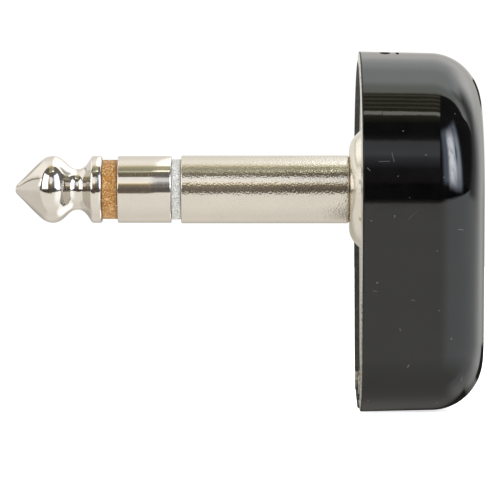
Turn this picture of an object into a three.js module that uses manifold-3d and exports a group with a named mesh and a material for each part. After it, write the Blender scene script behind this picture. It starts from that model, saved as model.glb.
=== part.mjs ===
// A 6.35 mm (1/4 in) three-conductor phone plug with a low, right-angle cover.
// Millimetres, +Z up. The plug's axis is the X axis and its tip points along -X.
// The origin is where the plug's axis meets the flat back of the cover.
// The cable leaves along -Z.
// Lengths along the plug are given as s, which runs along +X and is zero at the
// shoulder that stops against a jack. Front is towards the tip, back towards +X.
import * as THREE from 'three';
import { mergeVertices } from 'three/addons/utils/BufferGeometryUtils.js';
import Module from 'manifold-3d';

const wasm = await Module();
wasm.setup();

// ---- driving dimensions -------------------------------------------------
const BACK_S = 12.19; // shoulder to the cover's flat back
const SEG = 36; // facets round the pieces on the plug's axis
const PIN_SEG = 16; // facets round rivets and small bores
const SCREW_SEG = 20;
const GAP = 0.03; // nominal gap between stacked and nested pieces

// contacts and the collars between them
const SLEEVE_R = 3.175;
const RING_R = 3.13;
const TIP_COLLAR_R = 2.775;
const SLEEVE_COLLAR_R = 2.82;
const SLEEVE_FRONT_S = -15.73;
const RING_BACK_S = -16.65;
const RING_FRONT_S = -21.65;
const TIP_BACK_S = -23.13;
const TIP_S = -31.25;

// radial stack inside the sleeve, from the axis outwards
const ROD_R = 0.85;
const INNER_TUBE_R = 1.22;
const RING_TUBE_R = 1.72;
const OUTER_TUBE_R = 2.25;
const SLEEVE_BORE_R = OUTER_TUBE_R + GAP;
const SHANK_R = 2.75;

const SEAT_S = 0.2; // depth of the hub's counterbore
const SLEEVE_BACK_S = 5.1;
const OUTER_TUBE_BACK_S = 5.08;
const RING_TUBE_BACK_S = 6.6;

// axial stack: each layer's front and back, and where the next layer starts
function layer(front, thickness) {
  const back = front + thickness;
  return { front, back, next: back + GAP };
}
const PLATE = layer(1.24, 1.0);
const GROUND_LUG = layer(PLATE.next, 0.5);
const LOCK_WASHER = layer(GROUND_LUG.next, 0.4);
const NUT = layer(LOCK_WASHER.next, 1.6);
const REAR_WASHER = layer(SLEEVE_BACK_S + GAP, 0.8);
const RING_LUG = layer(REAR_WASHER.next, 0.4);
const SPACER = layer(RING_TUBE_BACK_S + GAP, 0.7);
const TIP_LUG = layer(SPACER.next, 0.4);
const ROD_WASHER = layer(TIP_LUG.next, 0.25);

// cover plan: a half circle round the plug's axis, straight sides that
// close in by seven degrees, round corners and a flat cable end
const TOP_R = 12.9;
const CORNER_R = 7.02;
const CORNER_Y = 4.257;
const CORNER_Z = -13.58;
const SIDE_ANGLE = THREE.MathUtils.degToRad(7);
const RIM_S = 0.76; // front edge of the cover
const RIM_WALL = 1.0;
const BODY_WALL = 1.5;
const LEDGE_S = 2.27; // floor of the rim's recess
const BACK_WALL = 1.4;
const BACK_FILLET = 4.75;
const INNER_FILLET = 3.0;

// cable entry: a straight-sided notch with a round end
const NOTCH_R = 3.0;
const NOTCH_S = 4.6; // centre of the round end
const NOTCH_BOTTOM_Z = -24;
const NOTCH_TOP_Z = -18.6;

// fixings
const SCREW_Y = 5.9;
const SCREW_Z = -18.1;
const SCREW_R = 0.6;
const RIVET_Y = 1.3;
const RIVET_Z = -13.4;
const RIVET_R = 0.5;

// ---- helpers ------------------------------------------------------------
// One closed, outward-facing, vertex-merged geometry.
function clean(geometry) {
  const bare = geometry.clone();
  bare.deleteAttribute('normal');
  bare.deleteAttribute('uv');
  const merged = mergeVertices(bare, 1e-4);
  const corners = [new THREE.Vector3(), new THREE.Vector3(), new THREE.Vector3()];
  const index = [];
  let volume = 0; // six times the enclosed volume, negative if inside out
  for (let i = 0; i < merged.index.count; i += 3) {
    const triangle = [0, 1, 2].map((k) => merged.index.getX(i + k));
    if (new Set(triangle).size < 3) continue;
    index.push(...triangle);
    corners.forEach((corner, k) => {
      corner.fromBufferAttribute(merged.attributes.position, triangle[k]);
    });
    volume += corners[0].dot(corners[1].cross(corners[2]));
  }
  if (volume < 0) {
    for (let i = 0; i < index.length; i += 3) {
      [index[i + 1], index[i + 2]] = [index[i + 2], index[i + 1]];
    }
  }
  merged.setIndex(index);
  return merged;
}

function solid(geometry) {
  const closed = clean(geometry);
  return new wasm.Manifold(
    new wasm.Mesh({
      numProp: 3,
      vertProperties: new Float32Array(closed.attributes.position.array),
      triVerts: new Uint32Array(closed.index.array),
    }),
  );
}

function geometryOf(manifold) {
  const mesh = manifold.getMesh();
  const positions = new Float32Array(mesh.vertProperties);
  const geometry = new THREE.BufferGeometry();
  geometry.setAttribute('position', new THREE.BufferAttribute(positions, 3));
  geometry.setIndex(new THREE.BufferAttribute(new Uint32Array(mesh.triVerts), 1));
  return geometry;
}

// Turned round the X axis: profile is a list of [s, radius]. A profile that
// starts and ends at radius 0 is solid; any other is closed on itself.
function turned(profile, seg = SEG) {
  const points = profile.map(([s, radius]) => new THREE.Vector2(radius, s));
  const first = points[0];
  const last = points[points.length - 1];
  if (first.x !== 0 || last.x !== 0) points.push(first.clone());
  return new THREE.LatheGeometry(points, seg).rotateZ(-Math.PI / 2);
}

const washer = (s0, s1, rIn, rOut, seg) =>
  turned([[s0, rIn], [s0, rOut], [s1, rOut], [s1, rIn]], seg);

const disc = (s0, s1, radius, seg) => turned([[s0, 0], [s0, radius], [s1, radius], [s1, 0]], seg);

// Extrusions are drawn in X and Y along Z; this turns them to Y and Z along X.
const TO_X = new THREE.Matrix4().makeBasis(
  new THREE.Vector3(0, 1, 0),
  new THREE.Vector3(0, 0, 1),
  new THREE.Vector3(1, 0, 0),
);

// A flat outline in Y and Z, thickened along X from s0 to s1.
function slab(shape, s0, s1) {
  return new THREE.ExtrudeGeometry(shape, { depth: s1 - s0, bevelEnabled: false })
    .translate(0, 0, s0)
    .applyMatrix4(TO_X);
}

function block(s0, s1, y0, y1, z0, z1) {
  return new THREE.BoxGeometry(s1 - s0, y1 - y0, z1 - z0)
    .translate((s0 + s1) / 2, (y0 + y1) / 2, (z0 + z1) / 2);
}

// Copies of a geometry on the near (-Y) and far (+Y) sides.
const pair = (geometry, y, z) =>
  [-1, 1].map((side) => geometry.clone().translate(0, side * y, z));

function arcPoints(y, z, radius, from, to, steps) {
  const points = [];
  for (let i = 0; i <= steps; i++) {
    const angle = from + ((to - from) * i) / steps;
    points.push(new THREE.Vector2(y + radius * Math.cos(angle), z + radius * Math.sin(angle)));
  }
  return points;
}

function roundHole(shape, y, z, radius, steps = PIN_SEG) {
  const points = arcPoints(y, z, radius, 0, 2 * Math.PI, steps);
  shape.holes.push(new THREE.Path(points.slice(0, -1).reverse()));
}

// The cover's plan, moved in by inset, as points that run anticlockwise.
function planPoints(inset) {
  const cornerR = CORNER_R - inset;
  const leftSide = Math.PI + SIDE_ANGLE;
  return [
    ...arcPoints(CORNER_Y, CORNER_Z, cornerR, -Math.PI / 2, -SIDE_ANGLE, 9),
    ...arcPoints(0, 0, TOP_R - inset, -SIDE_ANGLE, leftSide, 26),
    ...arcPoints(-CORNER_Y, CORNER_Z, cornerR, leftSide, 1.5 * Math.PI, 9),
  ];
}
const plan = (inset) => new THREE.Shape(planPoints(inset));

// ---- contacts and insulators --------------------------------------------
// ball-shaped nose with a neck for the jack's spring to drop into
const tipContact = turned([
  // [s, radius] over the nose
  [TIP_S, 0], [-31.21, 0.33], [-31.02, 0.53], [-30.65, 0.9], [-30.27, 1.3],
  [-29.71, 1.87], [-29.15, 2.41], [-28.77, 2.74], [-28.4, 2.98], [-28.02, 3.09],
  [-27.74, 3.13], [-27.46, 3.09], [-27.09, 2.98], [-26.71, 2.7], [-26.34, 2.33],
  // neck and rear band
  [-25.97, 2.03], [-25.4, 1.89], [-25.03, 1.98], [-24.65, 2.27], [-24.28, 2.78],
  [-24.09, 3.06], [-23.9, 3.09], [-23.24, 3.09], [TIP_BACK_S, 2.92],
  // blind bore for the rod
  [TIP_BACK_S, ROD_R + GAP], [-27.0, ROD_R + GAP], [-27.2, 0],
]);

// the rod is peened over behind its washer
const ROD_FRONT_S = -26.95;
const tipRod = turned([
  [ROD_FRONT_S, 0],
  [ROD_FRONT_S, ROD_R],
  [ROD_WASHER.next, ROD_R],
  [ROD_WASHER.next, 1.35],
  [8.4, 1.2],
  [8.62, 0.7],
  [8.62, 0],
]);

const tipInsulator = washer(TIP_BACK_S + GAP, RING_FRONT_S - GAP, ROD_R + GAP, TIP_COLLAR_R);

// the ring band and its tube are one turned piece, with a lip at the tube's back
const RING_CHAMFER = 0.1;
const RING_LIP_S = 6.4;
const ringContact = turned([
  [RING_FRONT_S, INNER_TUBE_R + GAP],
  [RING_FRONT_S, RING_R - RING_CHAMFER],
  [RING_FRONT_S + RING_CHAMFER, RING_R],
  [RING_BACK_S - RING_CHAMFER, RING_R],
  [RING_BACK_S, RING_R - RING_CHAMFER],
  [RING_BACK_S, RING_TUBE_R],
  [RING_LIP_S, RING_TUBE_R],
  [RING_LIP_S, RING_TUBE_R + 0.35],
  [RING_TUBE_BACK_S, RING_TUBE_R + 0.25],
  [RING_TUBE_BACK_S, INNER_TUBE_R + GAP],
]);

const innerTube = washer(RING_FRONT_S, RING_TUBE_BACK_S, ROD_R + GAP, INNER_TUBE_R);
const sleeveInsulator = washer(
  RING_BACK_S + GAP, SLEEVE_FRONT_S - GAP, RING_TUBE_R + GAP, SLEEVE_COLLAR_R,
);
const outerTube = washer(SLEEVE_FRONT_S, OUTER_TUBE_BACK_S, RING_TUBE_R + GAP, OUTER_TUBE_R);

// sleeve, necked down to the shank that passes through hub and plate
const SLEEVE_CHAMFER = 0.12;
const SLEEVE_STEP = 0.1; // the sleeve is this much smaller in radius at its seat
const SHANK_CHAMFER = 0.15;
const sleeveBarrel = turned([
  [SLEEVE_FRONT_S, SLEEVE_BORE_R],
  [SLEEVE_FRONT_S, SLEEVE_R - SLEEVE_CHAMFER],
  [SLEEVE_FRONT_S + SLEEVE_CHAMFER, SLEEVE_R],
  [-0.14, SLEEVE_R],
  [-0.04, SLEEVE_R - SLEEVE_STEP],
  [SEAT_S - GAP, SLEEVE_R - SLEEVE_STEP],
  [SEAT_S - GAP, SHANK_R],
  [SLEEVE_BACK_S - SHANK_CHAMFER, SHANK_R],
  [SLEEVE_BACK_S, SHANK_R - SHANK_CHAMFER],
  [SLEEVE_BACK_S, SLEEVE_BORE_R],
]);

// domed collar; its flat front is the shoulder that stops against a jack,
// and the sleeve sits in its counterbore
const shoulderHub = turned([
  [SEAT_S, SHANK_R + GAP],
  [SEAT_S, SLEEVE_R + GAP],
  [0, SLEEVE_R + GAP],
  // [s, radius] over the dome
  [0, 3.9], [0.07, 4.2], [0.16, 4.45], [0.25, 4.6], [0.35, 4.78],
  [0.44, 4.95], [0.75, 5.27], [1.1, 5.6], [PLATE.front - GAP, 5.72],
  [PLATE.front - GAP, SHANK_R + GAP],
]);

// ---- plate --------------------------------------------------------------
const PLATE_INSET = RIM_WALL + 0.08; // the plate clears the rim's wall
const TONGUE_Y = NOTCH_R - 0.1;
const TONGUE_Z = -20.54;

// the tongue closes the front of the cable notch
function makeBasePlate() {
  const footZ = CORNER_Z - (CORNER_R - PLATE_INSET);
  const shape = new THREE.Shape([
    new THREE.Vector2(-TONGUE_Y, footZ),
    new THREE.Vector2(-TONGUE_Y, TONGUE_Z),
    new THREE.Vector2(TONGUE_Y, TONGUE_Z),
    new THREE.Vector2(TONGUE_Y, footZ),
    ...planPoints(PLATE_INSET),
  ]);
  roundHole(shape, 0, 0, SHANK_R + GAP, SEG);
  for (const side of [-1, 1]) {
    roundHole(shape, side * SCREW_Y, SCREW_Z, SCREW_R + 0.08, SCREW_SEG);
    roundHole(shape, side * RIVET_Y, RIVET_Z, RIVET_R + GAP);
  }
  return slab(shape, PLATE.front, PLATE.back);
}

// ---- terminals, nut and washers -----------------------------------------
// A solder lug: an eye round the plug's axis and a straight arm along -Z,
// turned about X by turn degrees.
function lug({ at, eyeR, holeR, armWidth, armLength, solderHoleR, turn = 0 }) {
  const half = armWidth / 2;
  const armAngle = Math.asin(half / eyeR);
  const endZ = -armLength + half;
  const shape = new THREE.Shape([
    ...arcPoints(0, 0, eyeR, -Math.PI / 2 + armAngle, 1.5 * Math.PI - armAngle, 24),
    ...arcPoints(0, endZ, half, Math.PI, 2 * Math.PI, 8),
  ]);
  roundHole(shape, 0, 0, holeR, SEG);
  roundHole(shape, 0, endZ, solderHoleR);
  return slab(shape, at.front, at.back).rotateX(THREE.MathUtils.degToRad(turn));
}

const groundTerminal = lug({
  at: GROUND_LUG, eyeR: 4.4, holeR: SHANK_R + GAP,
  armWidth: 3.4, armLength: 10.6, solderHoleR: 0.8,
});
const ringTerminal = lug({
  at: RING_LUG, eyeR: 2.9, holeR: RING_TUBE_R + GAP,
  armWidth: 2.2, armLength: 9.0, solderHoleR: 0.55, turn: -50,
});
const tipTerminal = lug({
  at: TIP_LUG, eyeR: 2.2, holeR: ROD_R + GAP,
  armWidth: 2.0, armLength: 8.2, solderHoleR: 0.55, turn: 40,
});

const barrelLockWasher = washer(LOCK_WASHER.front, LOCK_WASHER.back, SHANK_R + GAP, 4.1);
const rearInsulatingWasher = washer(REAR_WASHER.front, REAR_WASHER.back, RING_TUBE_R + GAP, 3.5);
const terminalSpacer = washer(SPACER.front, SPACER.back, ROD_R + GAP, 3.1);
const rodWasher = washer(ROD_WASHER.front, ROD_WASHER.back, ROD_R + GAP, 1.65);

// hexagon with the corners of its back face turned off
const NUT_ACROSS_FLATS = 7.6;
function makeBarrelNut() {
  const cornerR = NUT_ACROSS_FLATS / 2 / Math.cos(Math.PI / 6);
  const hexagon = solid(
    new THREE.CylinderGeometry(cornerR, cornerR, NUT.back - NUT.front, 6)
      .rotateZ(-Math.PI / 2)
      .translate((NUT.front + NUT.back) / 2, 0, 0),
  );
  const blank = solid(
    turned([
      [NUT.front, SHANK_R + GAP],
      [NUT.front, 4.4],
      [NUT.back - 0.3, 4.4],
      [NUT.back, 3.9],
      [NUT.back, SHANK_R + GAP],
    ]),
  );
  return geometryOf(hexagon.intersect(blank));
}

// ---- cable clamp and rivets ---------------------------------------------
const CLAMP_T = 0.5;
const CLAMP_Y = 3.1;
const CLAMP_BEND = 0.25; // bevel along the outside of each fold
const CLAMP_EAR_S = 7.0; // ends of the ears, on their outer faces
const CLAMP_EAR_INNER_S = 7.2;
const CLAMP_BOTTOM_Z = -14.9;
const CLAMP_TOP_Z = -11.9;

// a strip folded into a channel, open at the back, with an ear on each side
function makeCableClamp() {
  const baseS = PLATE.next;
  const floorS = baseS + CLAMP_T;
  const innerY = CLAMP_Y - CLAMP_T;
  // [y, s] round the section
  const section = [
    [-CLAMP_Y, baseS + CLAMP_BEND], [-CLAMP_Y + CLAMP_BEND, baseS],
    [CLAMP_Y - CLAMP_BEND, baseS], [CLAMP_Y, baseS + CLAMP_BEND],
    [CLAMP_Y, CLAMP_EAR_S], [innerY, CLAMP_EAR_INNER_S], [innerY, floorS],
    [-innerY, floorS], [-innerY, CLAMP_EAR_INNER_S], [-CLAMP_Y, CLAMP_EAR_S],
  ];
  // section width becomes Y, its height X, and the extrusion runs along -Z
  const upright = new THREE.Matrix4().makeBasis(
    new THREE.Vector3(0, 1, 0),
    new THREE.Vector3(1, 0, 0),
    new THREE.Vector3(0, 0, -1),
  );
  let clamp = solid(
    new THREE.ExtrudeGeometry(
      new THREE.Shape(section.map(([y, s]) => new THREE.Vector2(y, s))),
      { depth: CLAMP_TOP_Z - CLAMP_BOTTOM_Z, bevelEnabled: false },
    )
      .applyMatrix4(upright)
      .translate(0, 0, CLAMP_TOP_Z),
  );
  for (const bore of pair(disc(1, 4, RIVET_R + GAP, PIN_SEG), RIVET_Y, RIVET_Z)) {
    clamp = clamp.subtract(solid(bore));
  }
  return geometryOf(clamp);
}

// plain shank through the plate, domed head behind the clamp's floor
function makeRivet() {
  const clampBack = PLATE.next + CLAMP_T;
  return turned(
    [
      [PLATE.front, 0],
      [PLATE.front, RIVET_R],
      [clampBack + GAP, RIVET_R],
      [clampBack + GAP, 0.85],
      [clampBack + 0.25, 0.75],
      [clampBack + 0.4, 0.4],
      [clampBack + 0.4, 0],
    ],
    PIN_SEG,
  );
}

// ---- cover --------------------------------------------------------------
const CUP_START_S = -8; // far enough forward for the front bevel to be cut away
const BOSS_R = 1.75;
const BOSS_EMBED = 0.4; // how far the bosses run into the back wall
const BOSS_BORE_S = 6.4;

// The plan moved in by inset, filled up to backS, with a round back edge.
function cup(inset, backS, fillet) {
  return solid(
    new THREE.ExtrudeGeometry(plan(inset), {
      depth: backS - fillet - CUP_START_S,
      bevelEnabled: true,
      bevelThickness: fillet,
      bevelSize: fillet,
      bevelOffset: -fillet,
      bevelSegments: 5,
    })
      .translate(0, 0, CUP_START_S)
      .applyMatrix4(TO_X),
  );
}

function makeNotch() {
  const height = NOTCH_TOP_Z - NOTCH_BOTTOM_Z;
  const straight = block(-1, NOTCH_S, -NOTCH_R, NOTCH_R, NOTCH_BOTTOM_Z, NOTCH_TOP_Z);
  const round = new THREE.CylinderGeometry(NOTCH_R, NOTCH_R, height, 32)
    .rotateX(Math.PI / 2)
    .translate(NOTCH_S, 0, (NOTCH_BOTTOM_Z + NOTCH_TOP_Z) / 2);
  return solid(straight).add(solid(round));
}

function makeCoverShell() {
  const innerBackS = BACK_S - BACK_WALL;
  const front = solid(block(-20, RIM_S, -20, 20, -30, 20));
  const outside = cup(0, BACK_S, BACK_FILLET).subtract(front);
  const inside = cup(BODY_WALL, innerBackS, INNER_FILLET);
  const recess = solid(slab(plan(RIM_WALL), -1, LEDGE_S));
  const boss = disc(LEDGE_S, innerBackS + BOSS_EMBED, BOSS_R, 24);
  const [nearBoss, farBoss] = pair(boss, SCREW_Y, SCREW_Z).map(solid);
  let cover = outside
    .subtract(inside)
    .add(nearBoss.add(farBoss).intersect(outside))
    .subtract(recess)
    .subtract(makeNotch());
  for (const bore of pair(disc(0, BOSS_BORE_S, SCREW_R + 0.05, PIN_SEG), SCREW_Y, SCREW_Z)) {
    cover = cover.subtract(solid(bore));
  }
  return geometryOf(cover);
}

// flat sheet just in front of the cover's back wall
const LINER_S = 10.2;
const LINER_T = 0.3;
const LINER_INSET = 4.75;
const coverLiner = slab(plan(LINER_INSET), LINER_S, LINER_S + LINER_T);

// ---- cover screws -------------------------------------------------------
const SCREW_FRONT_S = 0.64;
const SCREW_HEAD_BACK_S = 1.05;
const SCREW_HEAD_R = 0.9;
const SCREW_END_S = 4.6;
const SLOT_FLOOR_S = 0.86;
const SLOT_HALF_WIDTH = 0.13;

function makeCoverScrew() {
  const body = turned(
    [
      [SCREW_FRONT_S, 0],
      [SCREW_FRONT_S, SCREW_HEAD_R - 0.12],
      [SCREW_FRONT_S + 0.08, SCREW_HEAD_R],
      [SCREW_HEAD_BACK_S, SCREW_HEAD_R],
      [SCREW_HEAD_BACK_S, SCREW_R],
      [SCREW_END_S - 0.3, SCREW_R],
      [SCREW_END_S, SCREW_R - 0.25],
      [SCREW_END_S, 0],
    ],
    SCREW_SEG,
  );
  const slot = block(0.4, SLOT_FLOOR_S, -SLOT_HALF_WIDTH, SLOT_HALF_WIDTH, -2, 2);
  return geometryOf(solid(body).subtract(solid(slot)));
}
const screwWasher = washer(1.07, 1.22, SCREW_R + 0.05, 1.02, SCREW_SEG);

// ---- materials ----------------------------------------------------------
const nickel = { color: 0xd9d3c6, roughness: 0.18, metalness: 1 };
const satinNickel = { color: 0xcdc6b8, roughness: 0.32, metalness: 1 };
const tinned = { color: 0xc9c7c0, roughness: 0.4, metalness: 1 };
const brass = { color: 0xc8a15a, roughness: 0.35, metalness: 1 };
const steel = { color: 0xb9bab8, roughness: 0.3, metalness: 1 };
const brown = { color: 0xa8742c, roughness: 0.5, metalness: 0 };
const white = { color: 0xd2d2cb, roughness: 0.5, metalness: 0 };
const natural = { color: 0xe4ded0, roughness: 0.5, metalness: 0 };
const fibre = { color: 0x8a4a34, roughness: 0.75, metalness: 0 };
const card = { color: 0x4d565c, roughness: 0.85, metalness: 0 };
const gloss = { color: 0x0c0c0d, roughness: 0.12, metalness: 0 };

// ---- assembly -----------------------------------------------------------
const part = new THREE.Group();
const plug = new THREE.Group();
const coverGroup = new THREE.Group();
// every piece is drawn from the shoulder; the origin is on the cover's back
plug.position.x = -BACK_S;
coverGroup.position.x = -BACK_S;
part.add(plug, coverGroup);

function place(group, name, geometry, look) {
  const mesh = new THREE.Mesh(clean(geometry), new THREE.MeshStandardMaterial(look));
  mesh.geometry.computeVertexNormals();
  mesh.name = name;
  group.add(mesh);
}

function placePair(group, name, [near, far], look) {
  place(group, `${name}_near`, near, look);
  place(group, `${name}_far`, far, look);
}

place(plug, 'tip_contact', tipContact, nickel);
place(plug, 'tip_rod', tipRod, brass);
place(plug, 'tip_insulator_collar', tipInsulator, brown);
place(plug, 'ring_contact', ringContact, nickel);
place(plug, 'inner_insulating_tube', innerTube, natural);
place(plug, 'sleeve_insulator_collar', sleeveInsulator, white);
place(plug, 'outer_insulating_tube', outerTube, natural);
place(plug, 'sleeve_barrel', sleeveBarrel, satinNickel);
place(plug, 'shoulder_hub', shoulderHub, nickel);
place(plug, 'base_plate', makeBasePlate(), nickel);
place(plug, 'ground_terminal', groundTerminal, tinned);
place(plug, 'barrel_lock_washer', barrelLockWasher, steel);
place(plug, 'barrel_nut', makeBarrelNut(), nickel);
place(plug, 'rear_insulating_washer', rearInsulatingWasher, fibre);
place(plug, 'ring_terminal', ringTerminal, tinned);
place(plug, 'terminal_spacer', terminalSpacer, fibre);
place(plug, 'tip_terminal', tipTerminal, tinned);
place(plug, 'rod_washer', rodWasher, brass);
place(plug, 'cable_clamp', makeCableClamp(), tinned);
placePair(plug, 'clamp_rivet', pair(makeRivet(), RIVET_Y, RIVET_Z), brass);
placePair(plug, 'cover_screw', pair(makeCoverScrew(), SCREW_Y, SCREW_Z), steel);
placePair(plug, 'screw_washer', pair(screwWasher, SCREW_Y, SCREW_Z), steel);
place(coverGroup, 'cover_shell', makeCoverShell(), gloss);
place(coverGroup, 'cover_liner', coverLiner, card);

export default part;
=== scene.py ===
# A plug with three contacts (tip, ring and sleeve) and a black cup-shaped cover set
# across its back end. The plug's axis is X, with the nose towards -X. The cover opens
# towards -X and hangs down to its cable notch at -Z. The camera looks along +Y, so
# "near" pieces are on the -Y side and "far" ones on the +Y side.
import math

import bmesh
import bpy
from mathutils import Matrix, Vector


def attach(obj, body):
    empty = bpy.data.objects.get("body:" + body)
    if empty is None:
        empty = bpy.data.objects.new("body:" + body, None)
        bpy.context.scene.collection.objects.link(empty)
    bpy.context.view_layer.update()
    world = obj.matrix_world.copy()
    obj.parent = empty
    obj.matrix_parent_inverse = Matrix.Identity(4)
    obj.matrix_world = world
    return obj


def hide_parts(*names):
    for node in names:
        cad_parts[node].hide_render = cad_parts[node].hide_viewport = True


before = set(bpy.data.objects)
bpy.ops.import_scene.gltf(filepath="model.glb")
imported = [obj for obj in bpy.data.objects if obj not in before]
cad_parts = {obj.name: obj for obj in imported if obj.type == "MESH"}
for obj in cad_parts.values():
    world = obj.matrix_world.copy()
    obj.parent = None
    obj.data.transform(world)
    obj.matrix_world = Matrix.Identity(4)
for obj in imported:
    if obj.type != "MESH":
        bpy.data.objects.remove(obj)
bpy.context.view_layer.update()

# Lengths are in millimetres. s runs along the plug, zero at the shoulder; the cover's
# flat back, the origin of X, is at s = BACK.
MM = 0.001
BACK = 12.19
TAU = 2 * math.pi
SIDES = ((-1, "near"), (1, "far"))

# nested pieces, from the axis outwards, and the stack behind the plate
GAP = 0.03  # clearance between neighbours
ROD_R = 0.85
INNER_TUBE_R = 1.22
RING_STEM_R = 1.72
OUTER_TUBE_R = 2.25
SLEEVE_STEM_R = 2.75
ROD_BORE = ROD_R + GAP
RING_BORE = INNER_TUBE_R + GAP
OUTER_TUBE_BORE = RING_STEM_R + GAP
SLEEVE_BORE = OUTER_TUBE_R + GAP
STEM_BORE = SLEEVE_STEM_R + GAP  # round the sleeve's stem

CONTACT_R = 3.13
SLEEVE_R = 3.175
TIP_BACK = -23.13
RING_FRONT, RING_BACK, RING_END = -21.65, -16.65, 6.6
SLEEVE_FRONT, SLEEVE_END = -15.73, 5.1


def after(s, thickness):
    """Where a piece starts and ends that follows one ending at s."""
    return s + GAP, s + GAP + thickness


PLATE_FRONT, PLATE_BACK = 1.24, 2.24
GROUND_LUG = after(PLATE_BACK, 0.5)
LOCK_WASHER = after(GROUND_LUG[1], 0.4)
NUT = after(LOCK_WASHER[1], 1.6)
REAR_WASHER = after(SLEEVE_END, 0.8)
RING_LUG = after(REAR_WASHER[1], 0.4)
SPACER = after(RING_END, 0.7)
TIP_LUG = after(SPACER[1], 0.4)
ROD_WASHER = after(TIP_LUG[1], 0.25)
ROD_HEAD = ROD_WASHER[1] + GAP

# the cover's plan in (y, z): a round top, flats leaning in by TILT, two round corners
TOP_R, COR_R, COR_Y, COR_Z = 12.9, 7.02, 4.257, -13.58
TILT = math.radians(7)
FOOT_Z = COR_Z - COR_R
SCREW_Y, SCREW_Z = 5.9, -18.1
RIVET_Y, RIVET_Z, RIVET_HOLE = 1.3, -13.4, 0.53


def P(s, y, z):
    return ((s - BACK) * MM, y * MM, z * MM)


# ------------------------------------------------------------------ mesh kit
def add_object(name, data):
    ob = bpy.data.objects.new(name, data)
    bpy.context.scene.collection.objects.link(ob)
    return ob


def make(name, verts, faces, sharp=32):
    mesh = bpy.data.meshes.new(name)
    mesh.from_pydata(verts, [], faces)
    ob = add_object(name, mesh)
    tidy(ob, sharp)
    return ob


def tidy(ob, sharp=32):
    """Outward faces, smooth shading, and hard edges where the surface really turns."""
    bm = bmesh.new()
    bm.from_mesh(ob.data)
    bmesh.ops.remove_doubles(bm, verts=bm.verts, dist=1e-7)
    bmesh.ops.dissolve_degenerate(bm, dist=1e-8, edges=bm.edges)
    bmesh.ops.recalc_face_normals(bm, faces=bm.faces)
    limit = math.radians(sharp)
    for face in bm.faces:
        face.smooth = True
    for edge in bm.edges:
        edge.smooth = not (len(edge.link_faces) == 2 and edge.calc_face_angle(0) > limit)
    bm.to_mesh(ob.data)
    bm.free()


def rounded(points, steps=5):
    """A polyline of (a, b) or (a, b, radius) with its corners turned on arcs."""
    out = []
    last = len(points) - 1
    for i, point in enumerate(points):
        radius = point[2] if len(point) > 2 else 0
        if radius <= 0 or i in (0, last):
            out.append((point[0], point[1]))
            continue
        corner = Vector(point[:2])
        back = Vector(points[i - 1][:2]) - corner
        ahead = Vector(points[i + 1][:2]) - corner
        back_len, ahead_len = back.length, ahead.length
        back.normalize()
        ahead.normalize()
        angle = back.angle(ahead)
        trim = min(radius / math.tan(angle / 2), back_len * 0.499, ahead_len * 0.499)
        radius = trim * math.tan(angle / 2)
        middle = (back + ahead).normalized()
        centre = corner + middle * (radius / math.sin(angle / 2))
        first = corner + back * trim - centre
        final = corner + ahead * trim - centre
        sweep = math.atan2(first.x * final.y - first.y * final.x, first.dot(final))
        start = math.atan2(first.y, first.x)
        for k in range(steps + 1):
            a = start + sweep * k / steps
            out.append((centre.x + radius * math.cos(a), centre.y + radius * math.sin(a)))
    return out


def bridge(rows, closed=False):
    """Faces between neighbouring rows of vertex numbers; a row of one is a pole."""
    pairs = list(zip(rows, rows[1:]))
    if closed:
        pairs.append((rows[-1], rows[0]))
    faces = []
    for low, high in pairs:
        count = max(len(low), len(high))
        for k in range(count):
            m = (k + 1) % count
            if len(low) == 1:
                faces.append((low[0], high[k], high[m]))
            elif len(high) == 1:
                faces.append((low[k], high[0], low[m]))
            else:
                faces.append((low[k], high[k], high[m], low[m]))
    return faces


def turned(name, stations, seg, at=(0.0, 0.0), closed=False, sharp=32):
    """Rings about X at (s, radius); a radius may be a function of the angle."""
    verts, rows = [], []
    for s, radius in stations:
        shape = radius if callable(radius) else lambda angle: radius
        count = 1 if shape(0) < 1e-9 else seg
        rows.append(list(range(len(verts), len(verts) + count)))
        for k in range(count):
            a = TAU * k / seg
            r = shape(a)
            verts.append(P(s, at[0] + r * math.cos(a), at[1] + r * math.sin(a)))
    return make(name, verts, bridge(rows, closed), sharp)


def lathe(name, profile, seg=144, at=(0.0, 0.0), steps=5, sharp=32):
    """Turned about X. The profile is (s, r[, corner radius]); it is solid when it
    starts and ends on the axis, and closed on itself otherwise."""
    solid = profile[0][1] == 0 and profile[-1][1] == 0
    if solid:
        return turned(name, rounded(profile, steps), seg, at, sharp=sharp)
    points = rounded(profile + [profile[0]], steps)[:-1]
    return turned(name, points, seg, at, closed=True, sharp=sharp)


def extrude(name, start, end, sharp=32):
    """A solid between two matching loops of points."""
    n = len(start)
    faces = [tuple(range(n)), tuple(range(2 * n - 1, n - 1, -1))]
    faces += [(k, (k + 1) % n, n + (k + 1) % n, n + k) for k in range(n)]
    return make(name, start + end, faces, sharp)


def prism(name, outline, s0, s1):
    """A flat outline in (y, z), thickened from s0 to s1."""
    return extrude(name, [P(s0, y, z) for y, z in outline], [P(s1, y, z) for y, z in outline])


def rod(s0, s1, r, y, z, seg=48):
    return lathe("cutter", [(s0, 0), (s0, r), (s1, r), (s1, 0)], seg, (y, z))


def brick(s0, s1, y0, y1, z0, z1):
    return prism("cutter", [(y0, z0), (y1, z0), (y1, z1), (y0, z1)], s0, s1)


def bake(ob):
    """Apply the modifiers."""
    graph = bpy.context.evaluated_depsgraph_get()
    mesh = bpy.data.meshes.new_from_object(ob.evaluated_get(graph))
    old = ob.data
    ob.modifiers.clear()
    ob.data = mesh
    mesh.name = ob.name
    bpy.data.meshes.remove(old)


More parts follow.
